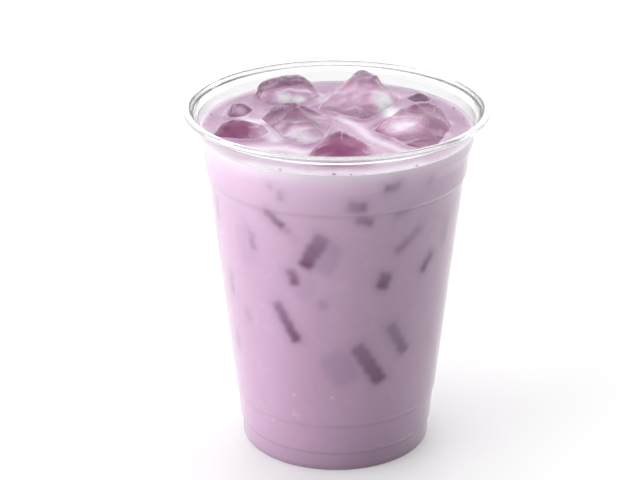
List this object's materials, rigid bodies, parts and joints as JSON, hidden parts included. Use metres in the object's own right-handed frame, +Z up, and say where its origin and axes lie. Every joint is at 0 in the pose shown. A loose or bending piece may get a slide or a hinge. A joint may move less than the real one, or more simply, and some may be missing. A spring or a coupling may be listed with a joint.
{
  "type": "iced taro milk tea in a clear plastic cup",
  "caption": "Clear tapered plastic cup with a rolled rim, filled with pale purple milk tea and floating ice blocks.",
  "frame": {"origin": "middle of the cup's underside, in the plane of its foot ring", "axes": "+Z up along the cup's axis, -Y towards the viewer, +X to the viewer's right"},
  "size_m": [0.098, 0.098, 0.116],
  "materials": {
    "clear_plastic": "clear thin thermoformed plastic, glossy",
    "milk_tea": "opaque milky liquid, wet and slightly translucent",
    "ice": "clear melting ice, wet"
  },
  "bodies": {
    "root": {"cup": "clear_plastic", "milk_tea": "milk_tea", "ice_back_left": "ice", "ice_left_small": "ice", "ice_left_front": "ice", "ice_centre_left": "ice", "ice_back_tall": "ice", "ice_right": "ice", "ice_front": "ice", "ice_back_right": "ice"}
  },
  "joints": []
}
